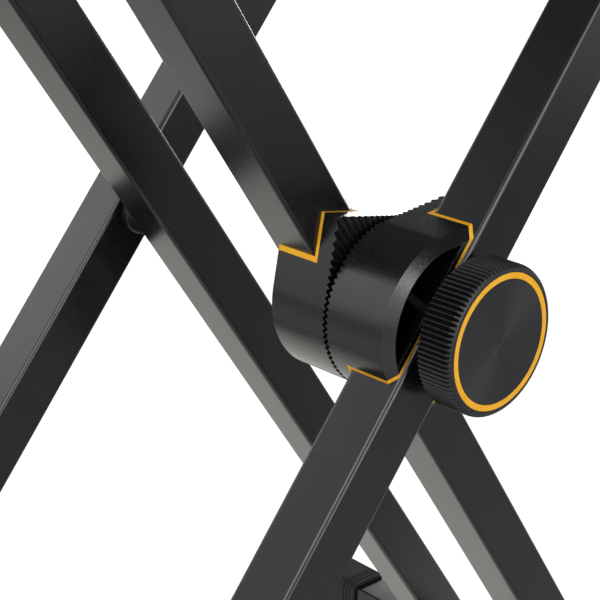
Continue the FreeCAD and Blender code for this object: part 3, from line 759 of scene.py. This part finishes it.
def shapeCup(name, low, high, mouth, end, out):
    shape = capShape
    cap = newCube(name, low, high)
    pickEdges(cap, lambda a, b: abs(a.y - b.y) > tiny)
    bpy.ops.mesh.bevel(offset=shape["corner"], segments=shape["cornerSteps"], affect="EDGES")
    pickEdges(cap, lambda a, b: abs(a.y - end) < tiny and abs(b.y - end) < tiny)
    bpy.ops.mesh.bevel(offset=shape["endRound"], segments=shape["endSteps"], affect="EDGES")
    pickFaces(cap, lambda center, normal: normal.y * out < -facing)
    bpy.ops.mesh.inset(thickness=shape["wall"])
    hollow = (0, end - mouth - shape["wall"] * out, 0)
    bpy.ops.mesh.extrude_region_move(TRANSFORM_OT_translate={"value": hollow})
    pickEdges(cap, lambda a, b: abs(a.y - mouth) < tiny and abs(b.y - mouth) < tiny)
    bpy.ops.mesh.bevel(offset=shape["lip"], segments=shape["lipSteps"], affect="EDGES")
    backToObject()
    return cap


def ringCap(cap, low, high, mouth, out):
    shape = capShape
    middle = (low + high) / 2
    half = shape["ringWidth"] / 2
    for ring in shape["rings"]:
        for edge in (ring - half, ring + half):
            sliceAt(cap, (0, mouth + edge * out, 0), (0, 1, 0))
    outside = (high.x - low.x) / 2 - shape["wall"] / 2

    def inRing(center, normal):
        depth = (center.y - mouth) * out
        onSkin = max(abs(center.x - middle.x), abs(center.z - middle.z)) > outside
        ringed = any(abs(depth - ring) < half for ring in shape["rings"])
        return onSkin and ringed and abs(normal.y) < shape["skinTilt"]

    sinkFaces(cap, inRing, shape["ringDepth"])


def treadSole(cap, low, mouth, end, out):
    shape = capShape
    first = max(shape["rings"]) + shape["treadGap"]
    step = (abs(end - mouth) - shape["endRound"] - first) / shape["treads"]
    grooves = [first + step * i for i in range(shape["treads"])]
    for groove in grooves:
        for edge in (groove, groove + shape["treadWidth"]):
            sliceAt(cap, (0, mouth + edge * out, 0), (0, 1, 0))

    def inTread(center, normal):
        depth = (center.y - mouth) * out
        treaded = any(0 < depth - groove < shape["treadWidth"] for groove in grooves)
        return treaded and normal.z < -facing and abs(center.z - low.z) < tiny

    sinkFaces(cap, inTread, shape["treadDepth"])


def makeCap(node):
    low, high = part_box(node)
    out = 1 if node.endswith("rear") else -1
    mouth, end = (low.y, high.y) if out > 0 else (high.y, low.y)
    cap = shapeCup(node + ".cup", low, high, mouth, end, out)
    ringCap(cap, low, high, mouth, out)
    if "foot" in node:
        treadSole(cap, low, mouth, end, out)
    smoothEdges(cap, capShape["smooth"])
    seat(cap, node, finishes["black_rubber"])


for frameName in ("outer", "inner"):
    for place in ("arm", "foot"):
        for end in ("front", "rear"):
            makeCap(f"{frameName}_{place}_cap_{end}")
print("end caps moulded")


# arm pads: rubber channels over the arms, ribbed along the top

padShape = {
    "corner": 0.0055, "cornerSteps": 6, "wall": 0.0030, "smooth": 35,
    "skirt": 0.011, "cutSpare": 0.0165,  # the skirt below the pad is cut away
    "grooves": 5, "grooveWidth": 0.0016, "groovePitch": 0.0044, "grooveDepth": 0.0009,
}


def shapeChannel(name, low, high):
    shape = padShape
    pad = newCube(name, low - Vector((0, 0, shape["skirt"])), high)
    pickEdges(pad, lambda a, b: abs(a.y - b.y) > tiny and min(a.z, b.z) > high.z - tiny)
    bpy.ops.mesh.bevel(offset=shape["corner"], segments=shape["cornerSteps"], affect="EDGES")
    pickFaces(pad, lambda center, normal: abs(normal.y) > facing or normal.z < -facing)
    bpy.ops.mesh.delete(type="FACE")
    backToObject()
    addModifier(pad, "SOLIDIFY", thickness=shape["wall"], offset=-1, use_even_offset=True)
    spare = Vector((shape["cutSpare"],) * 3)
    skirtTop = Vector((high.x + spare.x, high.y + spare.y, low.z))
    cutAway(pad, newCube("skirt", low - spare, skirtTop))
    return pad


def makePad(node):
    shape = padShape
    low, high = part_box(node)
    pad = shapeChannel(node + ".strip", low, high)
    middle = (low.x + high.x) / 2
    first = middle - shape["groovePitch"] * (shape["grooves"] - 1) / 2
    places = [first + shape["groovePitch"] * i for i in range(shape["grooves"])]
    half = shape["grooveWidth"] / 2
    for x in places:
        for edge in (x - half, x + half):
            sliceAt(pad, (edge, 0, 0), (1, 0, 0))

    def inGroove(center, normal):
        grooved = any(abs(center.x - x) < half for x in places)
        return grooved and normal.z > facing and center.z > high.z - tiny

    sinkFaces(pad, inGroove, shape["grooveDepth"])
    smoothEdges(pad, shape["smooth"])
    seat(pad, node, finishes["black_rubber"])


for frameName in ("outer", "inner"):
    makePad(f"{frameName}_arm_pad")
print("arm pads moulded")


# rear pivot: spacer with a waist, and a dished plug behind

spacerShape = {"bore": 0.0053, "edge": 0.0006, "collar": 0.0030, "waist": 0.0007, "steps": 96, "smooth": 32}
plugShape = {
    "radius": 0.0130, "flange": 0.0018, "spigot": 0.0103, "wall": 0.0014, "steps": 96, "smooth": 32,
    "tipEdge": 0.0006, "tipInset": 0.0003,
    "round": 0.00096, "roundSide": 0.0003, "roundFace": 0.00036,  # rim, with the middle of its rounding
    "dish": 0.0005, "dishRim": 0.00824, "dishFloor": 0.00721,
}


def makeSpacer():
    shape = spacerShape
    bore, edge = shape["bore"], shape["edge"]
    low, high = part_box("pivot_spacer")
    radius = (high.x - low.x) / 2
    waist = radius - shape["waist"]
    near, far = low.y + shape["collar"], high.y - shape["collar"]
    spacer = turnPiece("pivot_spacer.turned", [
        (bore, low.y), (radius - edge, low.y), (radius, low.y + edge), (radius, near),
        (waist, near + shape["waist"]), (waist, far - shape["waist"]), (radius, far),
        (radius, high.y - edge), (radius - edge, high.y), (bore, high.y)], shape["steps"])
    smoothEdges(spacer, shape["smooth"])
    seat(spacer, "pivot_spacer", finishes["black_plastic"])


def makePlug():
    shape = plugShape
    radius, spigot = shape["radius"], shape["spigot"]
    low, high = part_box("pivot_plug")
    face, inside = high.y - shape["flange"], spigot - shape["wall"]
    plug = turnPiece("pivot_plug.moulded", [
        (0, face), (inside, face), (inside, low.y), (spigot - shape["tipInset"], low.y),
        (spigot, low.y + shape["tipEdge"]), (spigot, face), (radius, face),
        (radius, high.y - shape["round"]),
        (radius - shape["roundSide"], high.y - shape["roundFace"]), (radius - shape["round"], high.y),
        (shape["dishRim"], high.y), (shape["dishFloor"], high.y - shape["dish"]),
        (0, high.y - shape["dish"])], shape["steps"], closed=False)
    smoothEdges(plug, shape["smooth"])
    seat(plug, "pivot_plug", finishes["black_plastic"])


makeSpacer()
makePlug()


# release spring: round wire wound in an even helix, squeezed as the clutch closes

springShape = {"radius": 0.0105, "wire": 0.0018, "turns": 4, "turnSteps": 48, "wireSides": 14, "smooth": 50}


def makeSpring():
    shape = springShape
    low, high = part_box("clutch_spring")
    length = high.y - low.y
    clearSelection()
    bpy.ops.mesh.primitive_circle_add(vertices=shape["wireSides"], radius=shape["wire"] / 2,
                                      location=(pivot.x, low.y + shape["wire"] / 2, pivot.z))
    spring = bpy.context.object
    spring.name = "clutch_spring.wound"
    pickAll(spring)
    bpy.ops.transform.translate(value=(shape["radius"], 0, 0))
    backToObject()
    addModifier(spring, "SCREW", axis="Y", angle=math.tau, iterations=shape["turns"],
                steps=shape["turnSteps"], render_steps=shape["turnSteps"],
                screw_offset=(length - shape["wire"]) / shape["turns"])
    settle(spring)
    openPiece(spring, "EDGE", "DESELECT")
    bpy.ops.mesh.select_non_manifold()
    bpy.ops.mesh.edge_face_add()
    bpy.ops.mesh.select_all(action="SELECT")
    bpy.ops.mesh.normals_make_consistent(inside=False)
    backToObject()
    smoothEdges(spring, shape["smooth"])
    seat(spring, "clutch_spring", finishes["zinc_steel"])
    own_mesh(spring)


makeSpring()
print("pivot and spring made")


# camera at the photograph's viewing angle

cameraSpec = {
    "place": (-0.5167, -0.5509, 0.6328),
    "azimuth": 44.85, "elevation": 18.74, "roll": 2.81,  # degrees
    "focalPixels": 1513.2, "framePixels": 600, "sensor": 36.0, "clipStart": 0.01,
}


def aimCamera(spec):
    azimuth, elevation, roll = (math.radians(spec[key]) for key in ("azimuth", "elevation", "roll"))
    back = Vector((-math.sin(azimuth) * math.cos(elevation), -math.cos(azimuth) * math.cos(elevation),
                   math.sin(elevation)))
    level = Vector((math.cos(azimuth), -math.sin(azimuth), 0))
    upright = back.cross(level)
    right = math.cos(roll) * level + math.sin(roll) * upright
    up = -math.sin(roll) * level + math.cos(roll) * upright
    lens = bpy.data.cameras.new("photoLens")
    lens.sensor_width = spec["sensor"]
    lens.lens = spec["focalPixels"] / spec["framePixels"] * spec["sensor"]
    lens.clip_start = spec["clipStart"]
    camera = bpy.data.objects.new("photoCamera", lens)
    bpy.context.scene.collection.objects.link(camera)
    camera.matrix_world = Matrix((right, up, back)).transposed().to_4x4()
    camera.location = spec["place"]
    bpy.context.scene.camera = camera


aimCamera(cameraSpec)
print("camera aimed")


# pale floor and soft studio light

studio = {
    "floorSize": 14.0, "floorColour": (0.70, 0.70, 0.70),
    "nearRadius": 0.7, "farRadius": 2.4, "liftNear": 0.76, "liftFar": 1.0,  # floor's backdrop, by distance
    "glossLift": 0.69, "glossTint": (1.0, 0.985, 0.89),  # the same as gloss sees it
    "glossLeft": (-0.40, 0.05), "glossFront": (-0.25, 0.10), "glossFar": (1.8, 4.2),  # where it sets in
    "worldLight": 0.10, "worldTint": (0.955, 0.96, 1.0), "backdrop": 1.05,
    "wall": 1.0, "ceiling": 0.03, "wallTop": 0.28, "ceilingFrom": 0.68,
    "wallTilt": 0.35,  # the wall reaches higher on the left
    "lamps": [
        # name, place, aim, size, watts
        ("frontSoftbox", (-0.16, -1.62, 1.05), (0, -0.1, 0.42), 1.2, 18.5),
        ("leftSoftbox", (-1.20, -0.15, 1.25), (0, -0.1, 0.42), 1.0, 12.5),
        ("backSoftbox", (-0.62, 1.35, 1.12), (-0.05, 0.12, 0.40), 0.75, 2.3),
        ("rimSoftbox", (1.64, 1.09, 0.60), (0, 0, 0.42), 0.45, 4.5),
    ],
}


def combine(tree, operation, first, second):
    node = tree.nodes.new("ShaderNodeMath")
    node.operation = operation
    for socket, value in zip(node.inputs, (first, second)):
        if isinstance(value, float):
            socket.default_value = value
        else:
            tree.links.new(value, socket)
    return node.outputs[0]


def lightPath(tree):  # what the camera sees, and what shows in gloss and glass
    path = tree.nodes.new("ShaderNodeLightPath").outputs
    gloss = combine(tree, "MAXIMUM", path["Is Glossy Ray"], path["Is Transmission Ray"])
    return path["Is Camera Ray"], gloss


def ramp(tree, source, fromLow, fromHigh, toLow, toHigh):
    node = tree.nodes.new("ShaderNodeMapRange")
    node.interpolation_type = "SMOOTHSTEP"
    limits = {"From Min": fromLow, "From Max": fromHigh, "To Min": toLow, "To Max": toHigh}
    for key, value in limits.items():
        node.inputs[key].default_value = value
    tree.links.new(source, node.inputs["Value"])
    return node.outputs["Result"]


def axisOf(tree, coordinate, axis):
    coords = tree.nodes.new("ShaderNodeTexCoord")
    split = tree.nodes.new("ShaderNodeSeparateXYZ")
    tree.links.new(coords.outputs[coordinate], split.inputs[0])
    return split.outputs[axis]


def distanceOf(tree):
    coords = tree.nodes.new("ShaderNodeTexCoord")
    length = tree.nodes.new("ShaderNodeVectorMath")
    length.operation = "LENGTH"
    tree.links.new(coords.outputs["Object"], length.inputs[0])
    return length.outputs["Value"]


def floorLift(tree, spec):  # backdrop light of the floor, for the camera and for gloss
    camera, gloss = lightPath(tree)
    distance = distanceOf(tree)
    seen = ramp(tree, distance, spec["nearRadius"], spec["farRadius"], spec["liftNear"], spec["liftFar"])
    behind = ramp(tree, axisOf(tree, "Object", "Y"), *spec["glossFront"], 0.0, spec["glossLift"])
    beside = ramp(tree, axisOf(tree, "Object", "X"), *spec["glossLeft"], 0.0, 1.0)
    far = ramp(tree, distance, *spec["glossFar"], 0.0, spec["glossLift"])
    around = combine(tree, "MAXIMUM", far, combine(tree, "MULTIPLY", behind, beside))
    mirrored = combine(tree, "MULTIPLY", gloss, around)
    tint = tree.nodes.new("ShaderNodeMix")
    tint.data_type = "RGBA"
    tint.inputs["A"].default_value = (1, 1, 1, 1)
    tint.inputs["B"].default_value = (*spec["glossTint"], 1)
    tree.links.new(gloss, tint.inputs["Factor"])
    lift = tree.nodes.new("ShaderNodeEmission")
    shown = combine(tree, "MAXIMUM", combine(tree, "MULTIPLY", camera, seen), mirrored)
    tree.links.new(shown, lift.inputs["Strength"])
    tree.links.new(tint.outputs["Result"], lift.inputs["Color"])
    return lift.outputs[0]


def layFloor(spec):
    clearSelection()
    bpy.ops.mesh.primitive_plane_add(size=spec["floorSize"])
    floor = bpy.context.object
    floor.name = "studioFloor"
    material = bpy.data.materials.new("paleFloor")
    material.use_nodes = True
    tree = material.node_tree
    tree.nodes.clear()
    output = tree.nodes.new("ShaderNodeOutputMaterial")
    matt = tree.nodes.new("ShaderNodeBsdfDiffuse")
    matt.inputs["Color"].default_value = (*spec["floorColour"], 1)
    both = tree.nodes.new("ShaderNodeAddShader")
    tree.links.new(matt.outputs[0], both.inputs[0])
    tree.links.new(floorLift(tree, spec), both.inputs[1])
    tree.links.new(both.outputs[0], output.inputs["Surface"])
    floor.data.materials.append(material)


def lightWorld(spec):
    world = bpy.data.worlds.new("studioWorld")
    bpy.context.scene.world = world
    world.use_nodes = True
    tree = world.node_tree
    background = tree.nodes["Background"]
    background.inputs["Color"].default_value = (*spec["worldTint"], 1)
    camera, gloss = lightPath(tree)
    tilted = combine(tree, "MULTIPLY", axisOf(tree, "Generated", "X"), spec["wallTilt"])
    height = combine(tree, "ADD", axisOf(tree, "Generated", "Z"), tilted)
    room = ramp(tree, height, spec["wallTop"], spec["ceilingFrom"], spec["wall"], spec["ceiling"])
    backdrop = combine(tree, "MULTIPLY", camera, spec["backdrop"])
    shown = combine(tree, "MAXIMUM", backdrop, combine(tree, "MULTIPLY", gloss, room))
    strength = combine(tree, "MAXIMUM", shown, spec["worldLight"])
    tree.links.new(strength, background.inputs["Strength"])


def hangLamps(spec):
    for name, place, aim, size, watts in spec["lamps"]:
        light = bpy.data.lights.new(name, "AREA")
        light.shape = "SQUARE"
        light.size = size
        light.energy = watts
        lamp = bpy.data.objects.new(name, light)
        bpy.context.scene.collection.objects.link(lamp)
        lamp.location = place
        lamp.rotation_euler = (Vector(aim) - Vector(place)).to_track_quat("-Z", "Y").to_euler()


bpy.context.scene.view_settings.view_transform = "Standard"
layFloor(studio)
lightWorld(studio)
hangLamps(studio)
print("studio lit")
